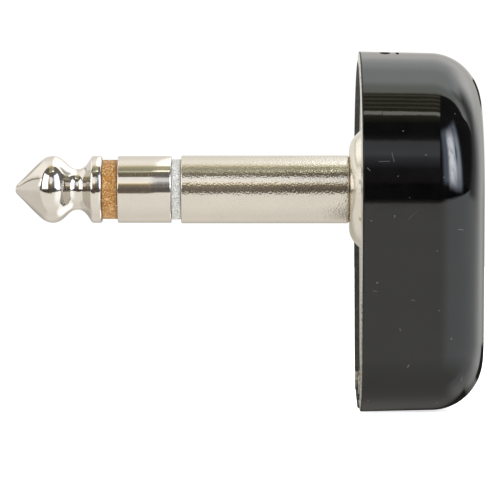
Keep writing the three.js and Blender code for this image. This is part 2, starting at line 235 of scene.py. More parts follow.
def combine(ob, tools, operation, sharp=32):
    for tool in tools:
        mod = ob.modifiers.new("cut", "BOOLEAN")
        mod.operation = operation
        mod.object = tool
        mod.solver = "EXACT"
        bake(ob)
        mesh = tool.data
        bpy.data.objects.remove(tool)
        bpy.data.meshes.remove(mesh)
    tidy(ob, sharp)
    return ob


def cut(ob, *tools, sharp=32):
    return combine(ob, tools, "DIFFERENCE", sharp)


def bevel(ob, width, segments=2, angle=35):
    mod = ob.modifiers.new("edge", "BEVEL")
    mod.width = width * MM
    mod.segments = segments
    mod.limit_method = "ANGLE"
    mod.angle_limit = math.radians(angle)
    mod.use_clamp_overlap = True
    mod.miter_outer = "MITER_SHARP"
    bake(ob)
    tidy(ob, sharp=40)
    return ob


def arc(cy, cz, r, a0, a1, n):
    return [
        (cy + r * math.cos(a0 + (a1 - a0) * k / n), cz + r * math.sin(a0 + (a1 - a0) * k / n))
        for k in range(n + 1)
    ]


def spline(points, per):
    """Uniform cubic B-spline near evenly spaced points, per steps to a span."""
    pts = [points[0], points[0]] + points + [points[-1], points[-1]]
    out = []
    for i in range(1, len(pts) - 2):
        for k in range(per):
            t = k / per
            weights = (
                (1 - t) ** 3 / 6,
                (3 * t**3 - 6 * t**2 + 4) / 6,
                (-3 * t**3 + 3 * t**2 + 3 * t + 1) / 6,
                t**3 / 6,
            )
            out.append(tuple(
                sum(weights[j] * pts[i - 1 + j][c] for j in range(4)) for c in (0, 1)
            ))
    out.append(points[-1])
    return out


# ------------------------------------------------------------- material kit
class Value:
    """A node's output. Arithmetic on it adds Math nodes."""

    def __init__(self, net, socket):
        self.net = net
        self.socket = socket

    def __add__(self, other):
        return self.net.math("ADD", self, other)

    def __radd__(self, other):
        return self.net.math("ADD", other, self)

    def __sub__(self, other):
        return self.net.math("SUBTRACT", self, other)

    def __rsub__(self, other):
        return self.net.math("SUBTRACT", other, self)

    def __mul__(self, other):
        return self.net.math("MULTIPLY", self, other)

    def __truediv__(self, other):
        return self.net.math("DIVIDE", self, other)

    def __lt__(self, other):
        return self.net.math("LESS_THAN", self, other)

    def __gt__(self, other):
        return self.net.math("GREATER_THAN", self, other)

    def __abs__(self):
        return self.net.math("ABSOLUTE", self)

    def sqrt(self):
        return self.net.math("SQRT", self)

    def max(self, other):
        return self.net.math("MAXIMUM", self, other)

    def min(self, other):
        return self.net.math("MINIMUM", self, other)

    def times_plus(self, factor, extra):
        return self.net.math("MULTIPLY_ADD", self, factor, extra)

    def ease(self, start, end, low=0.0, high=1.0, kind="SMOOTHSTEP"):
        """Low to high as this goes from start to end, which may lie below start."""
        ins = {0: self, 1: start, 2: end, 3: low, 4: high}
        return self.net.value("ShaderNodeMapRange", ins, interpolation_type=kind)

    def between(self, rise, top, drop, end):
        """Rises from rise to top, falls from drop to end."""
        return self.ease(rise, top) * self.ease(end, drop)


class Net:
    """The node tree of a material or world. Inputs are keyed by number or name."""

    def __init__(self, owner, output="ShaderNodeOutputMaterial"):
        owner.use_nodes = True
        self.owner = owner
        self.tree = owner.node_tree
        self.tree.nodes.clear()
        self.output = self.node(output)

    def node(self, kind, inputs=None, **props):
        node = self.tree.nodes.new(kind)
        for key, prop in props.items():
            setattr(node, key, prop)
        for key, value in (inputs or {}).items():
            if isinstance(value, Value):
                self.tree.links.new(value.socket, node.inputs[key])
            else:
                node.inputs[key].default_value = value
        return node

    def outs(self, node, *keys):
        return [Value(self, node.outputs[key]) for key in keys]

    def value(self, kind, inputs=None, out=0, **props):
        return self.outs(self.node(kind, inputs, **props), out)[0]

    def show(self, shader):
        self.tree.links.new(shader.socket, self.output.inputs[0])
        return self.owner

    def math(self, op, a, b=0.0, c=None):
        ins = {0: a, 1: b} if c is None else {0: a, 1: b, 2: c}
        return self.value("ShaderNodeMath", ins, operation=op)

    def hypot(self, a, b):
        return a.times_plus(a, b * b).sqrt()

    def mix(self, factor, a, b):
        """Colour a where the factor is 0, b where it is 1."""
        a, b = [c + (1.0,) if isinstance(c, tuple) else c for c in (a, b)]
        ins = {0: factor, 6: a, 7: b}
        kind = {"data_type": "RGBA", "blend_type": "MIX", "clamp_factor": True}
        return self.value("ShaderNodeMix", ins, out=2, **kind)

    def noise(self, vec, scale, detail=3.0, rough=0.5, warp=0.0):
        return self.value("ShaderNodeTexNoise", {
            "Vector": vec, "Scale": scale, "Detail": detail, "Roughness": rough, "Distortion": warp,
        })

    def cells(self, vec, scale):
        """Distance to the nearest of scattered points, and that point's random colour."""
        ins = {"Vector": vec, "Scale": scale, "Randomness": 1.0}
        return self.outs(self.node("ShaderNodeTexVoronoi", ins, feature="F1"), "Distance", "Color")

    def xyz(self, x, y, z):
        return self.value("ShaderNodeCombineXYZ", {0: x, 1: y, 2: z})

    def split(self, vec):
        return self.outs(self.node("ShaderNodeSeparateXYZ", {0: vec}), 0, 1, 2)

    def mm(self):
        """Object coordinates in millimetres."""
        coords = self.value("ShaderNodeTexCoord", out="Object")
        return self.value("ShaderNodeVectorMath", {0: coords, "Scale": 1000.0}, operation="SCALE")

    def bump(self, height, depth, strength=1.0, normal=None):
        """depth is in millimetres."""
        ins = {"Strength": strength, "Distance": depth * MM, "Height": height}
        if normal is not None:
            ins["Normal"] = normal
        return self.value("ShaderNodeBump", ins)

    def principled(self, color, rough, normal, more=None):
        ins = {"Base Color": color, "Roughness": rough, "Normal": normal, **(more or {})}
        return self.value("ShaderNodeBsdfPrincipled", ins)

    def mix_shader(self, factor, a, b):
        return self.value("ShaderNodeMixShader", {0: factor, 1: a, 2: b})

    def emission(self, color, strength):
        return self.value("ShaderNodeEmission", {"Color": color + (1.0,), "Strength": strength})


def new_net(name):
    return Net(bpy.data.materials.new(name))


# ----------------------------------------------------------------- materials
def nickel(name, tint, rough, haze, turn, jitter,
           specks=0.0, grain=9.0, streak=0.12, octaves=3.0, extra=None):
    """Plate on turned brass. haze spreads part of the light, turn is the depth of the
    turning lines, jitter that of the grain, specks the strength of the tarnish, and
    streak how much handling marks roughen it. extra recolours it at the end."""
    net = new_net(name)
    pos = net.mm()
    x, y, z = net.split(pos)
    angle = net.math("ARCTAN2", z, y)
    radius = (y * y + z * z).sqrt()
    lines = net.noise(net.xyz(x * 16.0, angle * 0.7, radius * 9.0), scale=1.0, rough=0.6)
    fine = net.noise(pos, grain, octaves, rough=0.6)
    broad = net.noise(pos, scale=0.35, detail=2.0)
    stretched = net.xyz(x * 7.0, angle * 4.5, radius)
    mark = net.noise(stretched, scale=1.0, detail=4.0, rough=0.7, warp=0.4).ease(0.55, 0.68)
    color = net.mix(broad.ease(0.3, 0.7), tuple(c * 0.965 for c in tint), tint)
    color = net.mix(mark * 0.2, color, tuple(min(1, c * 1.12) for c in tint))
    if specks:
        near = 1.0 - net.cells(pos, scale=0.55)[0].ease(0.02, 0.2)
        blotch = near * fine.ease(0.35, 0.65)
        color = net.mix(blotch * specks, color, (0.27, 0.29, 0.23))
    if extra:
        color = extra(net, pos, x, fine, color)
    roughness = rough + (fine - 0.5) * (rough * 0.8) + mark * streak
    normal = net.bump(lines, depth=0.004 * turn)
    normal = net.bump(fine, depth=0.012 * jitter, normal=normal)
    metal = net.principled(color, roughness, normal, {"Metallic": 1.0})
    warm = tuple(c * f for c, f in zip(tint, (1.0, 0.86, 0.62)))
    veil = net.value("ShaderNodeBsdfAnisotropic", {
        "Color": net.mix(0.55, color, warm), "Roughness": 0.62, "Normal": normal,
    }, distribution="GGX")
    return net.show(net.mix_shader(mark.times_plus(haze * 0.8, haze), metal, veil))


def groove_shade(net, pos, x, fine, color):
    """The groove where the sleeve meets the hub is painted a dark dull gold: painted shade in the
    groove.
    """
    groove = x.ease(-BACK - 0.115, -BACK - 0.085)
    return net.mix(groove, color, (0.2, 0.135, 0.035))


# green-grey spots of tarnish on the dome: s, y, z, radius
STAINS = ((0.86, -5.35, 0.6, 0.34), (0.86, -4.6, -2.85, 0.3), (0.4, -4.7, 1.5, 0.14))


def stains(net, pos, x, fine, color):
    for s, y, z, r in STAINS:
        ins = {0: pos, 1: (s - BACK, y, z)}
        away = net.value("ShaderNodeVectorMath", ins, out="Value", operation="DISTANCE")
        away = away + (fine - 0.5) * 0.25
        color = net.mix(away.ease(r, r * 0.35, 0.0, 0.62), color, (0.25, 0.29, 0.22))
    return color


def worms(net, pos, scale, seed, width):
    """Short curled flecks: thin contour lines of a noise field, broken up."""
    ins = {0: pos, 1: (seed, seed * 1.7, -seed)}
    moved = net.value("ShaderNodeVectorMath", ins, operation="ADD")
    ridge = abs(net.noise(moved, scale, detail=1.0, warp=0.6) - 0.5)
    broken = net.noise(moved, scale * 1.3, detail=1.0)
    return ridge.ease(width, width * 0.35) * broken.ease(0.42, 0.5)


def brown():
    """Paper-filled phenolic: orange-brown resin with pale curled fibres."""
    net = new_net("brown_phenolic")
    pos = net.mm()
    cloud = net.noise(pos, scale=2.2, rough=0.6, warp=0.8)
    pale_worms = worms(net, pos, scale=3.1, seed=0.0, width=0.05).max(
        worms(net, pos, scale=3.7, seed=5.3, width=0.045))
    dark = worms(net, pos, scale=3.3, seed=11.9, width=0.05)
    color = net.mix(cloud.ease(0.3, 0.7), (0.2, 0.082, 0.012), (0.31, 0.135, 0.024))
    color = net.mix(dark * 0.7, color, (0.12, 0.042, 0.007))
    color = net.mix(pale_worms * 0.8, color, (0.49, 0.33, 0.16))
    rough = pale_worms.times_plus(0.2, 0.4)
    normal = net.bump(pale_worms - dark, depth=0.012)
    return net.show(net.principled(color, rough, normal, {"Specular IOR Level": 0.25}))


def pale():
    """Pale filled insulator: cloudy grey-white with grey flecks."""
    net = new_net("pale_insulator")
    pos = net.mm()
    cloud = net.noise(pos, scale=2.4, rough=0.6, warp=0.8)
    grey = worms(net, pos, scale=3.2, seed=2.2, width=0.055).max(
        worms(net, pos, scale=3.9, seed=8.1, width=0.045))
    light = worms(net, pos, scale=3.4, seed=15.2, width=0.06)
    color = net.mix(cloud.ease(0.3, 0.7), (0.4, 0.395, 0.365), (0.5, 0.495, 0.47))
    color = net.mix(light * 0.8, color, (0.66, 0.655, 0.64))
    color = net.mix(grey * 0.75, color, (0.21, 0.205, 0.19))
    normal = net.bump(light - grey, depth=0.012)
    return net.show(net.principled(color, 0.45, normal, {"Specular IOR Level": 0.4}))


def nylon():
    net = new_net("natural_nylon")
    pos = net.mm()
    cloud = net.noise(pos, scale=1.4, rough=0.6)
    color = net.mix(cloud.ease(0.3, 0.7), (0.62, 0.56, 0.44), (0.78, 0.73, 0.62))
    normal = net.bump(net.noise(pos, scale=9.0), depth=0.008)
    depth = {"Subsurface Weight": 0.5, "Subsurface Scale": 0.0012}
    return net.show(net.principled(color, 0.35, normal, depth))


def fibre():
    """Vulcanised fibre: oxblood sheet with pressed paper strands."""
    net = new_net("vulcanised_fibre")
    x, y, z = net.split(net.mm())
    along_y = net.xyz(x * 8.0, y * 1.2, z * 5.0)
    along_z = net.xyz(x * 8.0, y * 5.0, z * 1.1)
    strands = net.noise(along_y, scale=1.6, detail=4.0, rough=0.65, warp=0.8).max(
        net.noise(along_z, scale=1.5, detail=4.0, rough=0.65, warp=0.8))
    color = net.mix(strands.ease(0.42, 0.75), (0.16, 0.028, 0.018), (0.36, 0.09, 0.055))
    return net.show(net.principled(color, 0.55, net.bump(strands, depth=0.02, strength=0.7)))


def card():
    """Pressed insulating card with short fibres and flecks."""
    net = new_net("insulating_card")
    pos = net.mm()
    fibres = net.noise(pos, scale=5.0, detail=5.0, rough=0.7, warp=2.2)
    cloud = net.noise(pos, scale=0.6, detail=2.0)
    flecks = net.noise(pos, scale=11.0, detail=2.0).ease(0.68, 0.72)
    color = net.mix(fibres.ease(0.35, 0.68), (0.045, 0.05, 0.055), (0.12, 0.13, 0.135))
    color = net.mix(cloud.ease(0.45, 0.7) * 0.3, color, (0.15, 0.15, 0.14))
    color = net.mix(flecks * 0.6, color, (0.3, 0.3, 0.28))
    return net.show(net.principled(color, 0.8, net.bump(fibres, depth=0.03)))


# dust and rubs on the side of the cover: ends in (s, z), half width, strength
MARKS = [
    ((3.52, 3.1), (3.72, 2.28), 0.035, 0.5), ((2.35, 2.3), (3.3, 2.33), 0.035, 0.5),
    ((1.3, 1.72), (1.52, 1.5), 0.04, 0.7), ((4.9, -2.95), (5.9, -2.0), 0.035, 0.3),
    ((4.55, 5.1), (4.58, 5.1), 0.05, 0.8), ((6.58, 2.9), (6.62, 2.9), 0.06, 0.7),
    ((4.05, 0.98), (4.08, 0.98), 0.05, 0.6), ((3.75, -2.55), (3.76, -2.7), 0.055, 0.9),
    ((1.58, -3.0), (1.68, -3.02), 0.055, 0.8), ((9.55, -3.8), (10.0, -3.86), 0.05, 0.6),
    ((7.6, -5.75), (7.64, -5.75), 0.05, 0.7), ((2.18, -8.62), (2.22, -8.62), 0.075, 0.9),
    ((1.85, -9.35), (2.15, -9.4), 0.045, 0.45), ((5.3, -10.2), (5.6, -10.22), 0.05, 0.45),
    ((7.85, -11.15), (7.88, -11.15), 0.055, 0.8), ((8.95, -13.7), (8.99, -13.75), 0.055, 0.8),
    ((4.28, -12.8), (4.34, -12.98), 0.05, 0.6), ((5.0, -16.3), (5.14, -16.12), 0.045, 0.7),
    ((9.95, -17.6), (10.05, -17.3), 0.045, 0.6), ((1.5, -19.45), (1.53, -19.45), 0.05, 0.6),
    ((7.85, -19.7), (7.88, -19.7), 0.05, 0.7), ((9.3, 6.7), (9.33, 6.7), 0.05, 0.7),
    ((9.1, 5.5), (9.12, 5.5), 0.045, 0.6), ((7.9, 8.7), (7.95, 8.75), 0.04, 0.3),
    ((2.7, 6.8), (2.82, 6.55), 0.035, 0.4), ((5.1, -0.95), (5.12, -0.95), 0.04, 0.4),
    ((8.2, 0.9), (8.24, 0.86), 0.05, 0.5), ((3.1, -5.3), (3.13, -5.3), 0.035, 0.3),
]
CHIPS = ((3.25, 0.52), (4.4, 0.17))  # dull dark chips near the crown: s, half length


def rub(net, x, z, wobble, mark):
    """One mark: the distance from its centre line, turned into a soft stroke."""
    (s0, z0), (s1, z1), half, amount = mark
    ds, dz = s1 - s0, z1 - z0
    square = max(ds * ds + dz * dz, 1e-6)
    px = x - (s0 - BACK)
    pz = z - z0
    along = px.times_plus(ds / square, pz * (dz / square)).max(0.0).min(1.0)
    away = net.hypot(px - along * ds, pz - along * dz)
    return (away + wobble).ease(half * 1.5, half * 0.5, 0.0, amount)


def chip_mask(net, x, y, z, wobble, chip):
    s, half = chip
    away = net.hypot((x - (s - BACK)) / half, (y + 2.25) / 0.75) + wobble
    return away.ease(1.1, 0.85) * (z > 11.5)


def strongest(masks):
    top = masks[0]
    for mask in masks[1:]:
        top = top.max(mask)
    return top


def gloss():
    """Deep black enamel: a still gloss skin, slight orange peel, dust and a few rubs."""
    net = new_net("black_gloss_enamel")
    pos = net.mm()
    x, y, z = net.split(pos)
    cloud = net.noise(pos, scale=0.5, rough=0.6)
    peel = net.noise(pos, scale=0.8, detail=2.0)
    haze = net.noise(pos, scale=9.0, rough=0.6)
    # loose dust everywhere: small soft dots, few and uneven
    distance, cell_color = net.cells(pos, scale=0.5)
    size, chance = net.outs(net.node("ShaderNodeSeparateColor", {"Color": cell_color}), 0, 1)
    dust = (distance < size.times_plus(0.025, 0.008)) * (chance > 0.55) * 0.5
    # the marks that can be picked out one by one, on the side facing -Y
    wobble = (haze - 0.5) * 0.05
    rubs = strongest([rub(net, x, z, wobble, mark) for mark in MARKS]) * (y < -3.0)
    chips = strongest([chip_mask(net, x, y, z, wobble, chip) for chip in CHIPS])
    color = net.mix(cloud.ease(0.3, 0.75), (0.0009, 0.0009, 0.001), (0.0018, 0.0018, 0.0019))
    color = net.mix(dust, color, (0.1, 0.1, 0.098))
    color = net.mix(rubs * 0.2, color, (0.34, 0.35, 0.36))
    skin_rough = haze.ease(0.3, 0.7).times_plus(0.012, 0.03)
    rough = skin_rough + dust * 0.5 + rubs * 0.35 + chips * 0.7
    normal = net.bump(peel, depth=0.004)
    normal = net.bump(haze, depth=0.0004, normal=normal)
    normal = net.bump(dust.max(rubs), depth=0.004, normal=normal)
    more = {"IOR": 1.5, "Specular IOR Level": chips.times_plus(-0.47, 0.5)}
    return net.show(net.principled(color, rough, normal, more))


def overspray():
    """Inside the cover the enamel is thin and dry, with a grainy skin."""
    net = new_net("dry_black_inside")
    pos = net.mm()
    grain = net.noise(pos, scale=7.0, detail=4.0, rough=0.65)
    cloud = net.noise(pos, scale=1.1, rough=0.6, warp=0.8)
    color = net.mix(grain.ease(0.35, 0.68), (0.008, 0.009, 0.008), (0.035, 0.037, 0.034))
    color = net.mix(cloud.ease(0.55, 0.72, 0.0, 0.35), color, (0.07, 0.075, 0.07))
    rough = grain.times_plus(0.3, 0.25)
    return net.show(net.principled(color, rough, net.bump(grain, depth=0.02)))


def land():
    """The rim's ground face: bare bright metal with chips of enamel left on it."""
    net = new_net("bare_rim")
    pos = net.mm()
    z = net.split(pos)[2]
    patches = net.noise(pos, scale=4.2, rough=0.7, warp=0.5)
    fine = net.noise(pos, scale=12.0, detail=2.0, rough=0.6)
    # ground clean beside the plug, patchier towards both ends
    ends = z.ease(-6.0, -11.0, 0.0, 0.62).max(z.ease(5.0, 10.0, 0.0, 0.5))
    left = patches < ends.times_plus(0.42, 0.24)
    color = net.mix(fine.ease(0.35, 0.65), (0.6, 0.6, 0.58), (0.86, 0.86, 0.85))
    color = net.mix(left, color, (0.03, 0.032, 0.027))
    rough = fine.times_plus(0.2, 0.16)
    normal = net.bump(fine, depth=0.006)
    return net.show(net.principled(color, rough, normal, {"Metallic": 1.0 - left * 0.9}))


def thin_edge():
    """Where the enamel thins over the sharp edge of the rim it is dull, almost dry."""
    net = new_net("dull_edge")
    grain = net.noise(net.mm(), scale=5.0, rough=0.65)
    color = net.mix(grain.ease(0.35, 0.7), (0.006, 0.006, 0.004), (0.03, 0.027, 0.018))
    rough = grain.times_plus(0.2, 0.55)
    normal = net.bump(grain, depth=0.004)
    return net.show(net.principled(color, rough, normal, {"Specular IOR Level": 0.25}))


BRIGHT = (0.665, 0.63, 0.588)
MATERIALS = {
    "nickel": nickel("bright_nickel", BRIGHT, rough=0.05, haze=0.17, turn=0.25, jitter=0.1),
    "tip": nickel("tip_nickel", BRIGHT, rough=0.04, haze=0.11, turn=0.25, jitter=0.12),
    "hub": nickel("hub_nickel", (0.82, 0.79, 0.73), rough=0.17, haze=0.2, turn=0.3,
                  jitter=0.3, specks=0.35, extra=stains),
    # the satin sleeve carries painted shade in its groove at the hub
    "satin": nickel("satin_nickel", (0.674, 0.64, 0.594), rough=0.055, haze=0.22, turn=0.5,
                    jitter=1.5, grain=6.6, streak=0.08, octaves=0.8, extra=groove_shade),
    "plate": nickel("plate_nickel", (0.62, 0.61, 0.58), rough=0.42, haze=0.3, turn=0.2,
                    jitter=6.0, specks=0.6, grain=5.5),
    "steel": nickel("screw_nickel", (0.3, 0.29, 0.265), rough=0.2, haze=0.15, turn=0.3,
                    jitter=0.8, grain=14.0),
    "tinned": nickel("tinned_sheet", (0.56, 0.55, 0.52), rough=0.3, haze=0.15, turn=0.3,
                     jitter=1.4, grain=5.0),
    "brass": nickel("bare_brass", (0.72, 0.5, 0.2), rough=0.24, haze=0.15, turn=0.5,
                    jitter=0.6, specks=0.2),
    "brown": brown(),
    "pale": pale(),
    "nylon": nylon(),
    "fibre": fibre(),
    "card": card(),
    "gloss": gloss(),
    "dry": overspray(),
    "land": land(),
    "edge": thin_edge(),
}


def finish(ob, material, node, body="plug"):
    ob.data.materials.clear()
    ob.data.materials.append(MATERIALS[material])
    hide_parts(node)
    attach(ob, body)


# ------------------------------------------------------------ plug contacts
# half outline of the tip, (s, radius): blunt nose, cone and ball with neck, collar
NOSE = [
    (-31.25, 0.0), (-31.24, 0.16), (-31.22, 0.26), (-31.18, 0.345), (-31.12, 0.43),
    (-31.02, 0.535),
]
BALL = [
    (-31.02, 0.535), (-30.833, 0.72), (-30.646, 0.905), (-30.458, 1.095), (-30.271, 1.29),
    (-30.084, 1.485), (-29.897, 1.68), (-29.709, 1.87), (-29.522, 2.06), (-29.335, 2.24),
    (-29.148, 2.415), (-28.96, 2.585), (-28.773, 2.745), (-28.586, 2.885), (-28.399, 2.985),
    (-28.211, 3.055), (-28.024, 3.1), (-27.837, 3.128), (-27.65, 3.128), (-27.463, 3.1),
    (-27.275, 3.05), (-27.088, 2.965), (-26.901, 2.845), (-26.714, 2.7), (-26.526, 2.52),
    (-26.339, 2.335), (-26.152, 2.165), (-25.965, 2.035), (-25.778, 1.945), (-25.59, 1.9),
    (-25.403, 1.888), (-25.216, 1.91), (-25.029, 1.975), (-24.841, 2.09), (-24.654, 2.26),
    (-24.467, 2.49), (-24.28, 2.78), (-24.12, 3.05),
]
COLLAR = [
    (-24.07, 3.07), (-24.0, 3.115), (-23.92, CONTACT_R), (-23.27, CONTACT_R), (-23.19, 3.09),
    (TIP_BACK, 3.0), (TIP_BACK, ROD_BORE), (-27.0, ROD_BORE), (-27.2, 0),
]
tip = lathe("tip_contact_body", NOSE + spline(BALL, 3)[1:] + COLLAR, seg=160, sharp=50)
finish(tip, "tip", "tip_contact")

ring = lathe("ring_contact_band", [
    (RING_FRONT, RING_BORE), (RING_FRONT, CONTACT_R, 0.11), (RING_BACK, CONTACT_R, 0.11),
    (RING_BACK, RING_STEM_R), (6.4, RING_STEM_R), (6.4, 2.07, 0.06), (RING_END, 1.97, 0.08),
    (RING_END, RING_BORE),
], seg=160)
finish(ring, "nickel", "ring_contact")

sleeve = lathe("sleeve_barrel_body", [
    (SLEEVE_FRONT, SLEEVE_BORE), (SLEEVE_FRONT, SLEEVE_R, 0.12), (-0.4, SLEEVE_R),
    (-0.19, SLEEVE_R, 0.05), (-0.105, 3.1, 0.02), (-0.1, 3.05), (0.17, 3.05),
    (0.17, SLEEVE_STEM_R), (4.95, SLEEVE_STEM_R), (SLEEVE_END, 2.6), (SLEEVE_END, SLEEVE_BORE),
], seg=160)
finish(sleeve, "satin", "sleeve_barrel")

hub = lathe("shoulder_hub_dome", [
    (0.2, STEM_BORE), (0.2, 3.205), (0.0, 3.205, 0.03), (0.0, 3.88), (0.03, 4.05), (0.07, 4.2),
    (0.16, 4.44), (0.25, 4.62), (0.35, 4.79), (0.47, 4.96), (0.62, 5.12), (1.08, 5.58),
    (1.15, 5.65), (1.21, 5.69), (1.21, STEM_BORE),
], seg=176, sharp=35)
finish(hub, "hub", "shoulder_hub")


def tube(name, s0, s1, bore, outer, seg, corners):
    """A plain tube or washer; corners are the rounding at the outer front and back."""
    front, back = corners
    profile = [(s0, bore), (s0, outer, front), (s1, outer, back), (s1, bore)]
    return lathe(name, profile, seg)


# s0, s1, bore, outer radius, segments, (front, back) corner radii
finish(tube("tip_insulator_ring", TIP_BACK + GAP, RING_FRONT - GAP, ROD_BORE, 2.775, 144,
            (0.05, 0.05)), "brown", "tip_insulator_collar")
finish(tube("sleeve_insulator_ring", RING_BACK + GAP, SLEEVE_FRONT - GAP, OUTER_TUBE_BORE,
            2.82, 144, (0.05, 0.05)), "pale", "sleeve_insulator_collar")
finish(tube("inner_insulating_sleeve", RING_FRONT, RING_END, ROD_BORE, INNER_TUBE_R, 72,
            (0, 0.04)), "nylon", "inner_insulating_tube")
finish(tube("outer_insulating_sleeve", SLEEVE_FRONT, 5.08, OUTER_TUBE_BORE, OUTER_TUBE_R, 96,
            (0, 0.05)), "nylon", "outer_insulating_tube")

tip_rod = lathe("tip_rod_peened", [
    (-26.95, 0), (-26.95, ROD_R), (ROD_HEAD, ROD_R), (ROD_HEAD, 1.35, 0.08), (8.3, 1.3, 0.12),
    (8.52, 1.0, 0.15), (8.62, 0.6, 0.15), (8.56, 0.25), (8.54, 0),
], seg=96, sharp=50)
finish(tip_rod, "brass", "tip_rod")

# ------------------------------------------------------- stack behind plate
NUT_FLATS = 7.6
nut_corner = NUT_FLATS / 2 / math.cos(math.pi / 6)
nut_angles = [math.pi / 3 * k + math.pi / 6 for k in range(6)]
nut = prism(
    "barrel_nut_hex", [(nut_corner * math.cos(a), nut_corner * math.sin(a)) for a in nut_angles],
    *NUT,
)
crown = lathe("cutter", [
    (3.0, 0), (3.0, 4.05), (NUT[0], 4.18), (3.38, 4.5), (4.4, 4.5), (NUT[1], 3.82), (5.2, 3.2),
    (5.2, 0),
], 120)
nut = combine(nut, [crown], "INTERSECT")
nut_bore = [(3.0, 0), (3.0, STEM_BORE), (4.6, STEM_BORE), (4.9, 3.06), (5.1, 3.06), (5.1, 0)]
nut = cut(nut, lathe("cutter", nut_bore, 96))
finish(bevel(nut, 0.05, angle=25), "plate", "barrel_nut")

# a plain bore and a toothed outer edge
TEETH, ROOT_R, CREST_R = 18, 3.72, 4.1
teeth = []
for k in range(TEETH):
    a = TAU * k / TEETH
    for turn, r in ((0.0, ROOT_R), (0.06, CREST_R), (0.2, CREST_R), (0.26, ROOT_R)):
        teeth.append((r * math.cos(a + turn), r * math.sin(a + turn)))
lock = prism("barrel_lock_washer_toothed", teeth, *LOCK_WASHER)
lock = cut(lock, rod(2.5, 3.5, STEM_BORE, 0, 0, 72))
finish(bevel(lock, 0.04, 1, angle=30), "steel", "barrel_lock_washer")


def lug(name, span, eye, hole, width, length, solder, lean=0.0):
    """A stamped solder lug: eye, arm, and an oval solder hole in a rounded end."""
    s0, s1 = span
    half = width / 2
    neck = half * 0.78
    end_z = -(length - half)
    start = -math.pi / 2 + math.asin(half / eye)
    pts = arc(0, 0, eye, start, 1.5 * math.pi - math.asin(half / eye), 72)
    pts += [(-half, -eye * 1.02), (-neck, -eye * 1.02 - 0.5)]
    pts += [(-neck, end_z + half * 1.1), (-half, end_z + half * 0.4)]
    pts += arc(0, end_z, half, math.pi, TAU, 20)
    pts += [(half, end_z + half * 0.4), (neck, end_z + half * 1.1)]
    pts += [(neck, -eye * 1.02 - 0.5), (half, -eye * 1.02)]
    slot = arc(0, end_z + solder * 0.35, solder, 0, math.pi, 14)
    slot += arc(0, end_z - solder * 0.1, solder, math.pi, TAU, 14)
    c, s = math.cos(lean), math.sin(lean)

    def leant(points):
        return [(y * c - z * s, y * s + z * c) for y, z in points]

    ob = prism(name, leant(pts), s0, s1)
    bore = rod(s0 - 1, s1 + 1, hole, 0, 0, 96)
    ob = cut(ob, bore, prism("cutter", leant(slot), s0 - 1, s1 + 1))
    return bevel(ob, 0.06, angle=30)


finish(lug("ground_terminal_lug", GROUND_LUG, eye=4.4, hole=STEM_BORE, width=3.4, length=10.6,
           solder=0.8), "tinned", "ground_terminal")
finish(lug("ring_terminal_lug", RING_LUG, eye=2.9, hole=OUTER_TUBE_BORE, width=2.2, length=9.0,
           solder=0.55, lean=math.radians(-50)), "tinned", "ring_terminal")
finish(lug("tip_terminal_lug", TIP_LUG, eye=2.2, hole=ROD_BORE, width=2.0, length=8.2,
           solder=0.55, lean=math.radians(40)), "tinned", "tip_terminal")

finish(tube("rear_fibre_washer", *REAR_WASHER, OUTER_TUBE_BORE, 3.5, 120, (0.06, 0.06)),
       "fibre", "rear_insulating_washer")
finish(tube("terminal_fibre_spacer", *SPACER, ROD_BORE, 3.1, 120, (0.06, 0.06)),
       "fibre", "terminal_spacer")
finish(tube("rod_end_washer", *ROD_WASHER, ROD_BORE, 1.65, 96, (0.05, 0.06)),
       "brass", "rod_washer")


# ------------------------------------------------------------- base plate
def within(a, b, count):
    """The points that divide a to b into equal parts."""
    return [
        (a[0] + (b[0] - a[0]) * k / count, a[1] + (b[1] - a[1]) * k / count)
        for k in range(1, count)
    ]


def plan(d, top=120, cor=40, side=8, foot=8):
    """The cover's plan moved in by d, from the +Y end of its foot, up and round."""
    far = arc(COR_Y, COR_Z, COR_R - d, -math.pi / 2, -TILT, cor)
    crest = arc(0, 0, TOP_R - d, -TILT, math.pi + TILT, top)
    near = arc(-COR_Y, COR_Z, COR_R - d, math.pi + TILT, 1.5 * math.pi, cor)
    pts = far + within(far[-1], crest[0], side) + crest
    pts += within(crest[-1], near[0], side) + near
    return pts + within(near[-1], (COR_Y, FOOT_Z + d), foot)


def rivet_holes():
    return [rod(0, 4, RIVET_HOLE, side * RIVET_Y, RIVET_Z, 36) for side, _ in SIDES]


PLATE_INSET = 1.08
TAB_Y, TAB_Z, TAB_CORNER = 2.9, -20.54, 0.1  # the tab at the plate's foot
plate_foot = FOOT_Z + PLATE_INSET
outline = plan(PLATE_INSET, foot=1) + [
    (-TAB_Y, plate_foot), (-TAB_Y, TAB_Z + TAB_CORNER), (-TAB_Y + TAB_CORNER, TAB_Z),
    (TAB_Y - TAB_CORNER, TAB_Z), (TAB_Y, TAB_Z + TAB_CORNER), (TAB_Y, plate_foot),
]
plate = prism("base_plate_sheet", outline, PLATE_FRONT, PLATE_BACK)
plate = cut(
    plate,
    rod(0, 4, STEM_BORE, 0, 0, 96),
    *[rod(0, 4, 0.68, side * SCREW_Y, SCREW_Z, 40) for side, _ in SIDES],
    *rivet_holes(),
)
finish(bevel(plate, 0.05, angle=40), "plate", "base_plate")

